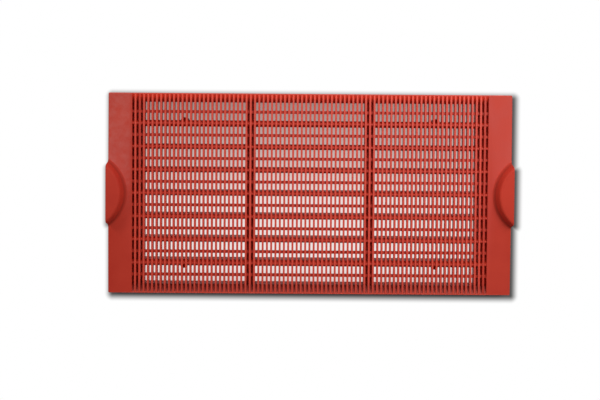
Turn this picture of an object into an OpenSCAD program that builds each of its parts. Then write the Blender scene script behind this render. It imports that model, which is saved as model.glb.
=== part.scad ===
// Slotted polyurethane deck panel for a vibrating screen, resting on its underside with the
// screening face up. X runs along the panel, Y runs along the slots and Z is up. Sizes in mm.

/* [Panel] */
// Length over the two plain ends
panel_l = 610; // [550:1:670]
// Width over the two long borders
panel_w = 303.5; // [280:0.5:335]
// Thickness from the underside to the screening face
panel_t = 30; // [26:0.5:40]
// Width of the plain strip at each end, outside the first slot
end_strip_w = 35.8; // [30:0.1:42]
// Width of the deep border along each long side
border_w = 13; // [11:0.1:16]
// Width of the plain edge along a border, outside the slot ends
edge_w = 1.8; // [1:0.1:4]
// Depth of a slot where it starts at the plain edge
edge_step = 0.5; // [0.2:0.1:2]
// Radius of the four upright corners
corner_r = 2; // [1:0.5:5]

/* [Slots] */
// Open width of a slot at the screening face
slot_w = 3.4; // [2.5:0.05:4]
// Growth of a slot on each side from the face down to the rib foot
slot_relief = 0.7; // [0.2:0.05:0.9]
// Depth of the ribs below the screening face
rib_h = 10.5; // [7:0.5:13]
// Slot columns over each deep end of the frame
end_cols = 3; // [1:1:5]
// Distance that each deep end stands back from the middle of its innermost rib
end_set_back = 3; // [0:0.1:4]
// Open slot columns in each outer bay
outer_bay_cols = 24; // [18:1:26]
// Slot columns over each cross wall
wall_cols = 2; // [1:1:3]
// Open slot columns in the middle bay
middle_bay_cols = 26; // [20:2:30]

/* [Bars and ties] */
// Deep bars along the panel between the two borders
bar_count = 7; // [5:1:8]
// Distance from a long side in to where the even spacing of the bars starts
row_margin = 10.35; // [8:0.05:14]
// Width of a deep bar below the ribs
bar_w = 8.1; // [6:0.1:11]
// Width of the outermost deep bar on each side
outer_bar_w = 9.8; // [6:0.1:12]
// Depth of the shoulders of the bars and borders below the screening face
shoulder_drop = 7.5; // [5:0.1:9]
// Width of the flat ridge on a deep bar
ridge_w = 2.6; // [1.5:0.1:4]
// Depth of the ridge below the screening face
ridge_drop = 1.8; // [1:0.1:3]
// Width of a shallow tie between two bars, at its top
tie_w = 4.8; // [3.5:0.1:6]
// Narrowing of a tie on each side from its top down to the rib foot
tie_relief = 1; // [0.2:0.1:1.5]
// Depth of a shallow tie below the screening face
tie_drop = 3.4; // [2:0.1:5]

/* [Bosses] */
// Radius of a round boss beside an outermost bar
boss_r = 5.5; // [4:0.1:7]
// Distance from the line of the bar out to the boss centre
boss_off = 3.8; // [2:0.1:6]
// Slot columns from the middle of the panel to the boss centre
boss_col = 29.8; // [25:0.1:34]

/* [Lugs] */
// Height of an end lug above the screening face
lug_h = 16.5; // [10:0.5:20]
// Radius of the round flank where its line meets the screening face
lug_foot_r = 59; // [54:0.5:64]
// Radius of the round flank where its line meets the top of the lug
lug_top_r = 54; // [48:0.5:56]
// Distance from the end of the panel out to the axis of the flank
lug_axis_out = 33; // [30:0.5:38]
// Radius of the rounded edge round the top of a lug
lug_edge_r = 4.5; // [1:0.5:6]
// Radius of the hollow fillet at the foot of a lug
lug_fillet_r = 5; // [3:0.5:8]

/* [Hidden] */
$fn = 96;
slot_cols = 2 * (end_cols + outer_bay_cols + wall_cols) + middle_bay_cols;
slot_pitch = (panel_l - 2 * end_strip_w - slot_w) / (slot_cols - 1);
rib_foot_z = panel_t - rib_h;
bar_pitch = (panel_w - 2 * row_margin) / (bar_count + 1);
end_block_w = panel_l / 2 - (slot_cols / 2 - end_cols) * slot_pitch - end_set_back;
wall_x = (middle_bay_cols + wall_cols) / 2 * slot_pitch;
wall_w = wall_cols * slot_pitch;
lug_draft = atan((lug_foot_r - lug_top_r) / lug_h);
blend_bite = 0.05;
cut_over = 1;
urethane_red = [0.72, 0.14, 0.1];

module along_x(length) {
    rotate([90, 0, 90]) linear_extrude(height = length, center = true) children();
}

module along_y(length) {
    rotate([90, 0, 0]) linear_extrude(height = length, center = true) children();
}

module slot_section() {
    polygon([
        [-slot_w / 2, panel_t + cut_over],
        [slot_w / 2, panel_t + cut_over],
        [slot_w / 2, panel_t],
        [slot_w / 2 + slot_relief, rib_foot_z],
        [slot_w / 2 + slot_relief, rib_foot_z - cut_over],
        [-slot_w / 2 - slot_relief, rib_foot_z - cut_over],
        [-slot_w / 2 - slot_relief, rib_foot_z],
        [-slot_w / 2, panel_t]
    ]);
}

module comb_section() {
    difference() {
        translate([-panel_l / 2 - cut_over, rib_foot_z]) square([panel_l + 2 * cut_over, rib_h]);
        for (i = [0 : slot_cols - 1]) {
            translate([(i - (slot_cols - 1) / 2) * slot_pitch, 0]) slot_section();
        }
    }
}

module bar_section(width) {
    polygon([
        [-width / 2, -cut_over],
        [width / 2, -cut_over],
        [width / 2, panel_t - shoulder_drop],
        [ridge_w / 2, panel_t - ridge_drop],
        [-ridge_w / 2, panel_t - ridge_drop],
        [-width / 2, panel_t - shoulder_drop]
    ]);
}

module tie_section() {
    polygon([
        [-tie_w / 2 + tie_relief, rib_foot_z],
        [tie_w / 2 - tie_relief, rib_foot_z],
        [tie_w / 2, panel_t - tie_drop],
        [-tie_w / 2, panel_t - tie_drop]
    ]);
}

module border_section() {
    polygon([
        [panel_w / 2 + cut_over, -cut_over],
        [panel_w / 2 + cut_over, panel_t],
        [panel_w / 2 - edge_w, panel_t],
        [panel_w / 2 - edge_w, panel_t - edge_step],
        [panel_w / 2 - border_w, panel_t - shoulder_drop],
        [panel_w / 2 - border_w, -cut_over]
    ]);
}

module ribs() {
    along_y(panel_w - 2 * edge_w) comb_section();
}

module borders() {
    along_x(panel_l + 2 * cut_over) {
        border_section();
        mirror([1, 0]) border_section();
    }
}

module bars() {
    along_x(panel_l - end_block_w) {
        for (i = [0 : bar_count - 1]) {
            outermost = i == 0 || i == bar_count - 1;
            translate([(i - (bar_count - 1) / 2) * bar_pitch, 0])
                bar_section(outermost ? outer_bar_w : bar_w);
        }
    }
}

module ties() {
    along_x(panel_l - end_block_w) {
        for (i = [0 : bar_count]) {
            translate([(i - bar_count / 2) * bar_pitch, 0]) tie_section();
        }
    }
}

module walls() {
    for (side = [0, 1]) mirror([side, 0, 0]) {
        translate([wall_x - wall_w / 2, border_w / 2 - panel_w / 2, -cut_over])
            cube([wall_w, panel_w - border_w, rib_foot_z + cut_over]);
        translate([panel_l / 2 - end_block_w, border_w / 2 - panel_w / 2, -cut_over])
            cube([end_block_w + cut_over, panel_w - border_w, rib_foot_z + cut_over]);
    }
}

module bosses() {
    for (x = [-1, 1], y = [-1, 1]) {
        translate([x * boss_col * slot_pitch, y * ((bar_count - 1) / 2 * bar_pitch + boss_off), -cut_over])
            cylinder(h = rib_foot_z + cut_over, r = boss_r);
    }
}

// Half of a lug's cross section, with the axis of the flank at x = 0 and the screening face at y = 0.
// Each rounding bites a little past the two faces that it joins, so that they cross cleanly.
module lug_section() {
    edge_y = lug_h - lug_edge_r + blend_bite;
    edge_x = lug_foot_r - edge_y * tan(lug_draft) - (lug_edge_r - blend_bite) / cos(lug_draft);
    fillet_y = lug_fillet_r - blend_bite;
    fillet_x = lug_foot_r - fillet_y * tan(lug_draft) + (lug_fillet_r - blend_bite) / cos(lug_draft);
    intersection() {
        polygon([
            [0, -cut_over],
            [lug_foot_r + cut_over * tan(lug_draft), -cut_over],
            [lug_top_r, lug_h],
            [0, lug_h]
        ]);
        union() {
            translate([0, -2 * cut_over]) square([edge_x, lug_h + 3 * cut_over]);
            translate([0, -2 * cut_over])
                square([fillet_x, edge_y + lug_edge_r * sin(lug_draft) + 2 * cut_over]);
            translate([edge_x, edge_y]) circle(r = lug_edge_r);
        }
    }
    difference() {
        polygon([
            [lug_top_r, -cut_over],
            [fillet_x, -cut_over],
            [fillet_x, fillet_y],
            [fillet_x - lug_fillet_r * cos(lug_draft), fillet_y - lug_fillet_r * sin(lug_draft)]
        ]);
        translate([fillet_x, fillet_y]) circle(r = lug_fillet_r);
    }
}

module lug() {
    translate([panel_l / 2 + lug_axis_out, 0, panel_t]) rotate_extrude() lug_section();
}

module corner_cuts() {
    for (x = [-1, 1], y = [-1, 1]) {
        translate([x * (panel_l / 2 - corner_r), y * (panel_w / 2 - corner_r), -cut_over])
            linear_extrude(height = panel_t + 2 * cut_over) difference() {
                translate([x > 0 ? 0 : -corner_r - cut_over, y > 0 ? 0 : -corner_r - cut_over])
                    square(corner_r + cut_over);
                circle(r = corner_r);
            }
    }
}

module trim_box() {
    translate([-panel_l / 2, -panel_w / 2, 0]) cube([panel_l, panel_w, panel_t + lug_h + cut_over]);
}

module screen_panel() {
    color(urethane_red) difference() {
        intersection() {
            union() {
                ribs();
                borders();
                bars();
                ties();
                walls();
                bosses();
                lug();
                mirror([1, 0, 0]) lug();
            }
            trim_box();
        }
        corner_cuts();
    }
}

screen_panel();
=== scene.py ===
import math

import bmesh
import bpy
from mathutils import Euler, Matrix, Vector


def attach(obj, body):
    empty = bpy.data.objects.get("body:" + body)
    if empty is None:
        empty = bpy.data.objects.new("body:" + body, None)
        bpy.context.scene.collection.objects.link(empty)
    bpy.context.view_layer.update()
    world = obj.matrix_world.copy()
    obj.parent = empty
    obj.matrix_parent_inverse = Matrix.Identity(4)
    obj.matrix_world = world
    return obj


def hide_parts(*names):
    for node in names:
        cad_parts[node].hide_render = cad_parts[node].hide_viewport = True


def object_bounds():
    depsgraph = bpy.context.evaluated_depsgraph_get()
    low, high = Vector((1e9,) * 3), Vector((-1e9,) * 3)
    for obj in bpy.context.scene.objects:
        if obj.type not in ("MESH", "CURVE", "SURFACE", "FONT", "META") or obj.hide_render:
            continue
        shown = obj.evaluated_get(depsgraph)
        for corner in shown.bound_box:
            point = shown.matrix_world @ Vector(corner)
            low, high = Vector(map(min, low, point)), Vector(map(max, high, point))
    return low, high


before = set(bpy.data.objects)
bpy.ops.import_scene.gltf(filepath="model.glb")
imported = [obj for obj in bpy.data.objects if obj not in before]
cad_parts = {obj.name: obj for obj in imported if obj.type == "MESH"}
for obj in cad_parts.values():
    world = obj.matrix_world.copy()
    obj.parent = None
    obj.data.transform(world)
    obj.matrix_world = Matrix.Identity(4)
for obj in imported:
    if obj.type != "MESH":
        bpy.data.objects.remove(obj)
cad_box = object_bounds()

MM = 0.001

# Sizes of the panel that the dressing follows, in metres, with the outline from the frame
BOX_LOW, BOX_HIGH = (Vector(corner) for corner in cad_box)
LUG_H = 16.5 * MM  # rise of a lug above the screening face
PANEL_L = BOX_HIGH.x - BOX_LOW.x
PANEL_W = BOX_HIGH.y - BOX_LOW.y
PANEL_T = BOX_HIGH.z - BOX_LOW.z - LUG_H  # from the underside to the screening face
NEAR_SIDE = -PANEL_W / 2
FAR_SIDE = PANEL_W / 2
CORNER_R = 2 * MM
RIB_H = 10.5 * MM
EDGE_W = 1.8 * MM  # plain edge outside the slot ends
END_STRIP_W = 35.8 * MM
DECK_L = PANEL_L - 2 * END_STRIP_W  # slotted length between the two plain end strips
LUG_AXIS_OUT = 33 * MM  # from the end of the panel out to the axis that a lug is turned about
LUG_FOOT_R = 59 * MM  # radius of the flank at the screening face
LUG_TOP_R = 54 * MM  # radius of the flank at the top
LUG_EDGE_R = 4.5 * MM  # rounding of the top edge
LUG_FILLET_R = 5 * MM  # hollow fillet at the foot
LUG_BITE = 0.05 * MM  # how far both roundings cut past the faces that they join
LUG_DRAFT = math.atan2(LUG_FOOT_R - LUG_TOP_R, LUG_H)  # lean of the flank

# How close counts as touching, as on the same edge, and as clear of the screening face
TOUCH = 0.02 * MM
NEAR = 0.1 * MM
CLEAR = 0.2 * MM

# How the mould eases the edges
FLAT = math.radians(0.5)  # faces that bend less than this are one face
CREASE = math.radians(20)  # edges sharper than this are eased
SMALL_EASE = 0.35 * MM  # ribs, bars, ties and slot ends
SMALL_STEPS = 1
OUTER_EASE = 1.3 * MM  # round the outside of the screening face
OUTER_STEPS = 5
ROUND_PROFILE = 0.5

# How much of the scuffed colour shows, and what counts as the top of a rib
EDGE_WEAR = 0.6
TOP_WEAR = 1.0
TOP_BAND = 0.3 * MM  # either side of the screening face
TOP_FACING = 0.5  # least upward share of the way that a face points


# Colour and node helpers

def to_linear(hex_code):
    """A colour written as sRGB hex, as linear red, green, blue and alpha."""
    parts = [int(hex_code[i:i + 2], 16) / 255 for i in (1, 3, 5)]
    return [c / 12.92 if c <= 0.04045 else ((c + 0.055) / 1.055) ** 2.4 for c in parts] + [1.0]


def add_node(tree, kind, *values, inputs=None, **settings):
    """Adds a shader node with its settings, and sets or links its inputs, in order or by name.
    A node given as an input stands for the first of its outputs that is in use."""
    node = tree.nodes.new("ShaderNode" + kind)
    for name, value in settings.items():
        setattr(node, name, value)
    for key, value in [*enumerate(values), *(inputs or {}).items()]:
        if isinstance(value, bpy.types.Node):
            value = next(out for out in value.outputs if out.enabled)
        if isinstance(value, bpy.types.NodeSocket):
            tree.links.new(value, node.inputs[key])
        else:
            node.inputs[key].default_value = value
    return node


def new_material(name):
    """An empty material and its node tree."""
    material = bpy.data.materials.new(name)
    material.use_nodes = True
    material.node_tree.nodes.clear()
    return material, material.node_tree


def tone_ramp(tree, length, tones):
    """A colour that changes with a length, through a row of lengths and sRGB hex tones."""
    first, last = tones[0][0], tones[-1][0]
    share = add_node(tree, "MapRange", length, inputs={"From Min": first, "From Max": last})
    ramp = add_node(tree, "ValToRGB", share)
    stops = ramp.color_ramp.elements
    for _ in tones[1:-1]:
        stops.new(0.5)  # between the two that a ramp starts with, and placed below
    for stop, (at, tone) in zip(stops, tones):
        stop.position = (at - first) / (last - first)
        stop.color = to_linear(tone)
    return ramp


# Cast polyurethane

DEEP_RED = "#C8311C"
BRIGHT_RED = "#D0371F"
SCUFFED_RED = "#EE4F39"
# Painted sheen: a pale pink laid in blotches over the top of the left strip
SHEEN_PINK = "#E6C9C2"

# Patterns in the skin, each with a scale of one over the size of its patches
CLOUDS = {"Scale": 1 / (45 * MM), "Detail": 3.0, "Roughness": 0.55}
GRAIN = {"Scale": 1 / (3 * MM), "Detail": 2.0, "Roughness": 0.6}
BLOTCHES = {"Scale": 1 / (11 * MM), "Detail": 4.0, "Roughness": 0.65}
GRAIN_BUMP = {"Strength": 0.15, "Distance": 0.1 * MM}

# The span that most of a pattern's values lie in, and what they become as scuffs, roughness and painted
# sheen
PATTERN_SPAN = {"From Min": 0.3, "From Max": 0.7}
SCUFFING = {**PATTERN_SPAN, "To Min": 0.6, "To Max": 1.0}
SATIN = {**PATTERN_SPAN, "To Min": 0.5, "To Max": 0.62}
SHEEN_STRENGTH = {"From Min": 0.35, "From Max": 0.65, "To Min": 0.02, "To Max": 0.09}

# Where the painted sheen shows: it comes in from the deck to the left strip, from near to far, and at the
# top
SHEEN_ALONG = {"From Min": 1.2 * MM - DECK_L / 2, "From Max": -5.8 * MM - DECK_L / 2}
SHEEN_ACROSS = {"From Min": -40 * MM, "From Max": 50 * MM}
SHEEN_UP = {"From Min": PANEL_T - 2 * MM, "From Max": PANEL_T - 0.5 * MM}

# Painted shade over the slots of the near long border and painted light over the far one, and how much of
# it shows from the slots up to the rib tops
NEAR_BORDER_PAINTED_SHADE = {"From Min": NEAR_SIDE + 12.75 * MM, "From Max": NEAR_SIDE + 19.75 * MM,
               "To Min": -0.38, "To Max": 0.0}
FAR_BORDER_PAINTED_LIGHT = {"From Min": FAR_SIDE - 10.75 * MM, "From Max": FAR_SIDE - 4.75 * MM,
                 "To Min": 0.0, "To Max": 0.48}
BORDER_DEPTH = {"From Min": PANEL_T - 1 * MM, "From Max": PANEL_T - NEAR, "To Min": 1.0, "To Max": 0.4}

# The lugs: where they start, how rough their matt skin is, and the painted shade at their feet by height
LUG_START = {"From Min": PANEL_T + TOUCH, "From Max": PANEL_T + CLEAR}
LUG_ROUGHNESS = 0.8
LUG_FOOT_SHADE_TONES = (
    (PANEL_T, "#FFFFFF"),
    (PANEL_T + 0.8 * MM, "#E2E2E2"),
    (PANEL_T + 3 * MM, "#DEDEDE"),
    (PANEL_T + 7 * MM, "#FFFFFF"),
)


def border_painted_light_and_shade(tree, spot):
    """A factor on the colour that is 1, but for the ribs and slots over the two long borders, where it
    paints shade along the near one and light along the far one.
    """
    near_painted_shade = add_node(tree, "MapRange", spot["Y"], inputs=NEAR_BORDER_PAINTED_SHADE)
    far_painted_light = add_node(tree, "MapRange", spot["Y"], inputs=FAR_BORDER_PAINTED_LIGHT)
    change = add_node(tree, "Math", near_painted_shade, far_painted_light, operation="ADD")
    for axis, half in (("X", DECK_L / 2), ("Y", PANEL_W / 2 - EDGE_W)):
        off_middle = add_node(tree, "Math", spot[axis], operation="ABSOLUTE")
        on_deck = add_node(tree, "Math", off_middle, half, operation="LESS_THAN")
        change = add_node(tree, "Math", change, on_deck, operation="MULTIPLY")
    on_ribs = add_node(tree, "Math", spot["Z"], PANEL_T - RIB_H, operation="GREATER_THAN")
    change = add_node(tree, "Math", change, on_ribs, operation="MULTIPLY")
    depth = add_node(tree, "MapRange", spot["Z"], inputs=BORDER_DEPTH)
    return add_node(tree, "Math", change, depth, 1.0, operation="MULTIPLY_ADD")


def strip_painted_sheen(tree, place, spot, on_lug):
    """How much painted sheen shows: blotches on the top of the left strip, and none on its lug."""
    blotches = add_node(tree, "TexNoise", place, inputs=BLOTCHES)
    sheen = add_node(tree, "MapRange", blotches, inputs=SHEEN_STRENGTH)
    for axis, limits in (("X", SHEEN_ALONG), ("Y", SHEEN_ACROSS), ("Z", SHEEN_UP)):
        within = add_node(tree, "MapRange", spot[axis], inputs=limits, interpolation_type="SMOOTHSTEP")
        sheen = add_node(tree, "Math", sheen, within, operation="MULTIPLY")
    off_lug = add_node(tree, "Math", 1.0, on_lug, operation="SUBTRACT")
    return add_node(tree, "Math", sheen, off_lug, operation="MULTIPLY")


def cast_polyurethane():
    """Red polyurethane elastomer, cast in a steel mould: a satin skin with broad, faint clouds of
    colour, and paler rib tops and edges where handling and ore have scuffed it. The slots are painted
    darker along the near border as shade and brighter along the far one as light. The lugs are matt,
    with painted shade at the foot. Painted sheen lies in faint, pale blotches on the left strip."""
    material, tree = new_material("cast_polyurethane_red")
    place = add_node(tree, "TexCoord").outputs["Object"]
    spot = add_node(tree, "SeparateXYZ", place).outputs
    on_lug = add_node(tree, "MapRange", spot["Z"], inputs=LUG_START)
    clouds = add_node(tree, "TexNoise", place, inputs=CLOUDS)
    grain = add_node(tree, "TexNoise", place, inputs=GRAIN)

    cloudy = add_node(tree, "MapRange", clouds, inputs=PATTERN_SPAN)
    red = add_node(tree, "Mix", data_type="RGBA", inputs={
        "Factor": cloudy, "A": to_linear(DEEP_RED), "B": to_linear(BRIGHT_RED)})
    wear = add_node(tree, "Attribute", attribute_name="wear").outputs["Fac"]
    scuffed = add_node(tree, "MapRange", grain, inputs=SCUFFING)
    worn = add_node(tree, "Math", wear, scuffed, operation="MULTIPLY")
    colour = add_node(tree, "Mix", data_type="RGBA", inputs={
        "Factor": worn, "A": red, "B": to_linear(SCUFFED_RED)})
    # Painted sheen in pale blotches on the left strip
    sheen = strip_painted_sheen(tree, place, spot, on_lug)
    sheened_colour = add_node(tree, "Mix", data_type="RGBA", inputs={
        "Factor": sheen, "A": colour, "B": to_linear(SHEEN_PINK)})
    # Painted shade in the slots along the near border and painted light along the far one
    tone = border_painted_light_and_shade(tree, spot)
    border_painted_colour = add_node(tree, "VectorMath", sheened_colour, operation="SCALE", inputs={"Scale": tone})
    # Painted shade darkens the foot of each lug, up to 7 mm above the screening face
    foot_shade = tone_ramp(tree, spot["Z"], LUG_FOOT_SHADE_TONES)
    foot_shaded = add_node(tree, "VectorMath", border_painted_colour, foot_shade, operation="MULTIPLY")

    satin = add_node(tree, "MapRange", clouds, inputs=SATIN)
    rough = add_node(tree, "Mix", data_type="FLOAT", inputs={
        "Factor": on_lug, "A": satin, "B": LUG_ROUGHNESS})
    skin = add_node(tree, "Bump", inputs={"Height": grain, **GRAIN_BUMP})
    shader = add_node(tree, "BsdfPrincipled", inputs={
        "Base Color": foot_shaded, "Roughness": rough, "IOR": 1.5, "Normal": skin})
    add_node(tree, "OutputMaterial", shader)
    return material


# The panel

def on_lug_face(vert):
    """True for a corner on a lug, clear of the screening face and of the end of the panel."""
    return vert.co.z > PANEL_T + CLEAR and abs(vert.co.x) < PANEL_L / 2 - NEAR


def on_outline(vert):
    """True for a corner on the outside of the screening face."""
    in_x = PANEL_L / 2 - abs(vert.co.x)
    in_y = PANEL_W / 2 - abs(vert.co.y)
    at_side = min(in_x, in_y) < NEAR
    at_corner = max(in_x, in_y) < CORNER_R + NEAR
    return abs(vert.co.z - PANEL_T) < NEAR and (at_side or at_corner)


def sharp_edges(bm):
    """Edges that the mould eases: all sharp ones but those of the lugs' own round faces."""
    sharp = [e for e in bm.edges if len(e.link_faces) == 2 and e.calc_face_angle(0) > CREASE]
    return [e for e in sharp if not all(on_lug_face(v) for v in e.verts)]


def ease(bm, edges, width, steps):
    """Rounds edges to a width in a number of steps, and gives the new faces."""
    eased = bmesh.ops.bevel(
        bm, geom=edges, affect="EDGES", offset=width, offset_type="OFFSET", segments=steps,
        profile=ROUND_PROFILE, clamp_overlap=False, loop_slide=False)
    return eased["faces"]


def even_normal(vert):
    """The mean of the faces at a corner by area, so that broad faces stay flat up to their eased edges."""
    return sum((f.normal * f.calc_area() for f in vert.link_faces), Vector()).normalized()


def beside_flank(height, out):
    """A point at a height, and a distance out from a lug's flank: how far it is from the axis, and up."""
    return Vector((LUG_FOOT_R - height * math.tan(LUG_DRAFT) + out / math.cos(LUG_DRAFT), height))


LUG_EDGE = beside_flank(LUG_H - LUG_EDGE_R + LUG_BITE, LUG_BITE - LUG_EDGE_R)  # centre of the top rounding
LUG_FILLET = beside_flank(LUG_FILLET_R - LUG_BITE, LUG_FILLET_R - LUG_BITE)  # centre of the foot fillet


def lug_normal(point):
    """The true direction of the turned surface of a lug at a point on it, or None off the lugs."""
    axis_x = math.copysign(PANEL_L / 2 + LUG_AXIS_OUT, point.x)
    out = Vector((point.x - axis_x, point.y))
    place = Vector((out.length, point.z - PANEL_T))
    at_end = abs(point.x) > PANEL_L / 2 - TOUCH
    if at_end or place.y < -TOUCH or place.x > LUG_FILLET.x + NEAR:
        return None
    lean = Vector((math.cos(LUG_DRAFT), math.sin(LUG_DRAFT)))
    up_flank = Vector((-lean.y, lean.x))
    if (place - LUG_EDGE).dot(up_flank) > 0:
        turn = place - LUG_EDGE if place.x > LUG_EDGE.x else Vector((0, 1))
    elif (place - LUG_FILLET).dot(up_flank) < 0:
        turn = LUG_FILLET - place
    else:
        turn = lean
    turn = turn.normalized()
    level = out.normalized() * turn.x
    return Vector((level.x, level.y, turn.y))


def panel_mesh():
    """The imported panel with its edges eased, as they leave a mould, and its worn faces marked."""
    bm = bmesh.new()
    bm.from_mesh(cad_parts["screen_panel"].data)
    bmesh.ops.remove_doubles(bm, verts=bm.verts, dist=TOUCH)
    bmesh.ops.dissolve_limit(bm, angle_limit=FLAT, verts=bm.verts, edges=bm.edges)
    wear = bm.faces.layers.float.new("wear")

    outer = [e for e in sharp_edges(bm) if all(on_outline(v) for v in e.verts)]
    ease(bm, outer, OUTER_EASE, OUTER_STEPS)
    for face in ease(bm, sharp_edges(bm), SMALL_EASE, SMALL_STEPS):
        bend = sum(e.calc_face_angle_signed(0) for e in face.edges)
        if bend > 0:  # an outer edge, not a hollow corner
            face[wear] = EDGE_WEAR
    for vert in bm.verts:  # the easing stays inside the CAD box
        vert.co = Vector(min(max(c, least), most) for c, least, most in zip(vert.co, BOX_LOW, BOX_HIGH))
    for face in bm.faces:
        middle = face.calc_center_median()
        at_top = abs(middle.z - PANEL_T) < TOP_BAND and face.normal.z > TOP_FACING
        if at_top and abs(middle.x) < DECK_L / 2:
            face[wear] = TOP_WEAR

    normals = [lug_normal(v.co) or even_normal(v) for v in bm.verts]
    mesh = bpy.data.meshes.new("screen_panel_cast")
    bm.to_mesh(mesh)
    bm.free()
    mesh.shade_smooth()
    mesh.normals_split_custom_set_from_vertices(normals)
    return mesh


panel = bpy.data.objects.new("screen_panel_cast", panel_mesh())
bpy.context.scene.collection.objects.link(panel)
panel.data.materials.append(cast_polyurethane())
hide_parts("screen_panel")
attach(panel, "root")


# The floor

FLOOR_SIZE = 60  # metres, so that no end of it shows in a low view
FLOOR_Z = -0.2 * MM  # just clear of the underside
WHITE = "#FFFFFF"
CARD = "#ECECEA"
DARKEST_SHADE = "#3C3C3C"

# The painted shadow on the floor follows the outline and its lugs, a little to the right and below
SHADE_MIDDLE = (4.4 * MM, -6.2 * MM)
SHADE_HALF = (PANEL_L / 2 + 5 * MM, PANEL_W / 2 + 1.05 * MM)
LUG_SHADE_MIDDLE = (4.4 * MM, -8 * MM)
LUG_SHADE_HALF = (PANEL_L / 2 + 10 * MM, 42 * MM)
SHADE_FADE = 13.9 * MM  # from the darkest shade out to plain white

# The card that the panel hides or frames, and its painted tone from the near side to the far side: painted
# shade, darkest toward the far side, tinted pink as painted light bounced off the red slots
UNDER_HALF = (PANEL_L / 2 - 6 * MM, PANEL_W / 2 - 6 * MM)
UNDER_SHADE_TONES = (
    (-140 * MM, "#EDD3D0"),
    (-116 * MM, "#FFF3F1"),
    (-60 * MM, "#FFF1EE"),
    (-9 * MM, "#FBE9E6"),
    (15 * MM, "#EFD7D3"),
    (62 * MM, "#D4BDB9"),
    (138 * MM, "#AA908C"),
)

# Share of the card's painted tone in what is seen of it, with the lit card for the rest
UNDER_SHARE = 0.85
FADE_RANGE = {"From Min": 0.0, "From Max": SHADE_FADE}
FADE_SHARE = {**FADE_RANGE, "To Min": 0.9, "To Max": 1.0}


def distance_outside(tree, place, middle, half):
    """Distance outside a rectangle on the floor, round its corners too, and nothing inside it."""
    off_middle = add_node(tree, "VectorMath", place, (*middle, 0), operation="SUBTRACT")
    aside = add_node(tree, "VectorMath", off_middle, operation="ABSOLUTE")
    tall_half = (*half, FLOOR_SIZE)  # so tall that only the place in plan counts
    past = add_node(tree, "VectorMath", aside, tall_half, operation="SUBTRACT")
    outside = add_node(tree, "VectorMath", past, (0, 0, 0), operation="MAXIMUM")
    return add_node(tree, "VectorMath", outside, operation="LENGTH")


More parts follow.
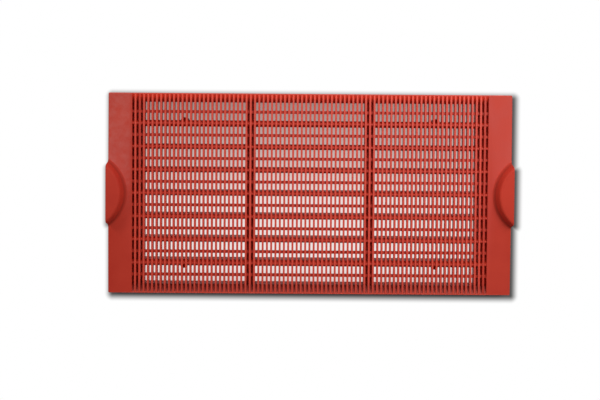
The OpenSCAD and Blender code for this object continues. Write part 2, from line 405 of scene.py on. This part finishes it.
def pale_floor():
    """White card. Under the panel its tone is painted: shade that deepens toward the far side, tinted pink
    as light bounced off the red slots. Close round the panel a painted shadow lies a little to the right
    and below, with a faint share of the real shadow, and further out it is plain white."""
    material, tree = new_material("pale_floor")
    place = add_node(tree, "NewGeometry").outputs["Position"]
    spot = add_node(tree, "SeparateXYZ", place).outputs

    # Painted shadow round the panel and its lugs, darkest at their edges
    from_panel = distance_outside(tree, place, SHADE_MIDDLE, SHADE_HALF)
    from_lugs = distance_outside(tree, place, LUG_SHADE_MIDDLE, LUG_SHADE_HALF)
    away = add_node(tree, "Math", from_panel, from_lugs, operation="MINIMUM")
    fade = add_node(tree, "MapRange", away, inputs=FADE_RANGE, interpolation_type="SMOOTHSTEP")
    shade = add_node(tree, "Mix", data_type="RGBA", inputs={
        "Factor": fade, "A": to_linear(DARKEST_SHADE), "B": to_linear(WHITE)})

    from_under = distance_outside(tree, place, (0, 0), UNDER_HALF)
    open_floor = add_node(tree, "Math", from_under, 0.0, operation="GREATER_THAN")
    # Painted shade and pink bounced light on the card under the panel
    under_shade = tone_ramp(tree, spot["Y"], UNDER_SHADE_TONES)
    tone = add_node(tree, "Mix", data_type="RGBA", inputs={"Factor": open_floor, "A": under_shade, "B": shade})
    fade_share = add_node(tree, "MapRange", away, inputs=FADE_SHARE)
    share = add_node(tree, "Mix", data_type="FLOAT", inputs={
        "Factor": open_floor, "A": UNDER_SHARE, "B": fade_share})

    rays = add_node(tree, "LightPath").outputs
    seen = rays["Is Camera Ray"]
    for kind in ("Is Glossy Ray", "Is Transmission Ray"):
        seen = add_node(tree, "Math", seen, rays[kind], operation="MAXIMUM")
    seen_share = add_node(tree, "Math", seen, share, operation="MULTIPLY")
    paper = add_node(tree, "BsdfDiffuse", to_linear(CARD))
    # The painted tones show only to camera, glossy and transmission rays
    glow = add_node(tree, "Emission", inputs={"Color": tone, "Strength": 1.0})
    card = add_node(tree, "MixShader", seen_share, paper, glow)
    add_node(tree, "OutputMaterial", card)
    return material


bpy.ops.mesh.primitive_plane_add(size=FLOOR_SIZE, location=(0, 0, FLOOR_Z))
floor = bpy.context.object
floor.name = "floor"
floor.data.materials.append(pale_floor())


# Light

SKY_STRENGTH = 0.1

# Name, place in metres, width in metres and power in watts
SOFTBOXES = (
    ("key_softbox", (0.53, 0.53, 1.06), 0.9, 10.1),
    ("top_softbox", (-0.71, 0.71, 1.73), 1.2, 4.4),
    ("back_softbox", (-1.84, 1.84, 1.5), 1.0, 18.8),
)


def softbox(name, place, size, watts):
    """A round soft lamp that points at the panel."""
    light = bpy.data.lights.new(name, "AREA")
    light.shape = "DISK"
    light.size = size
    light.energy = watts
    lamp = bpy.data.objects.new(name, light)
    lamp.location = place
    lamp.rotation_euler = (-Vector(place)).to_track_quat("-Z", "Y").to_euler()
    bpy.context.scene.collection.objects.link(lamp)


for box in SOFTBOXES:
    softbox(*box)

world = bpy.data.worlds.new("studio")
world.use_nodes = True
sky = world.node_tree.nodes["Background"].inputs
sky["Color"].default_value = to_linear(WHITE)
sky["Strength"].default_value = SKY_STRENGTH
bpy.context.scene.world = world


# Camera, almost straight above the panel, fitted to the outline and the slots in the photo

CAMERA_PLACE = Vector((-18.1, 101, 1111)) * MM
CAMERA_TURN = (-1.2116, -0.1287, 0.4394)  # degrees about X, Y and Z, from looking straight down
SENSOR_W = 36  # millimetres
LENS = 42.93  # millimetres
SHIFT_UP = -0.0957  # share of the sensor's width

camera = bpy.data.cameras.new("camera")
camera.sensor_width = SENSOR_W
camera.lens = LENS
camera.shift_y = SHIFT_UP
eye = bpy.data.objects.new("camera", camera)
eye.location = CAMERA_PLACE
eye.rotation_euler = Euler([math.radians(turn) for turn in CAMERA_TURN], "XYZ")
bpy.context.scene.collection.objects.link(eye)
bpy.context.scene.camera = eye
bpy.context.scene.view_settings.view_transform = "Standard"
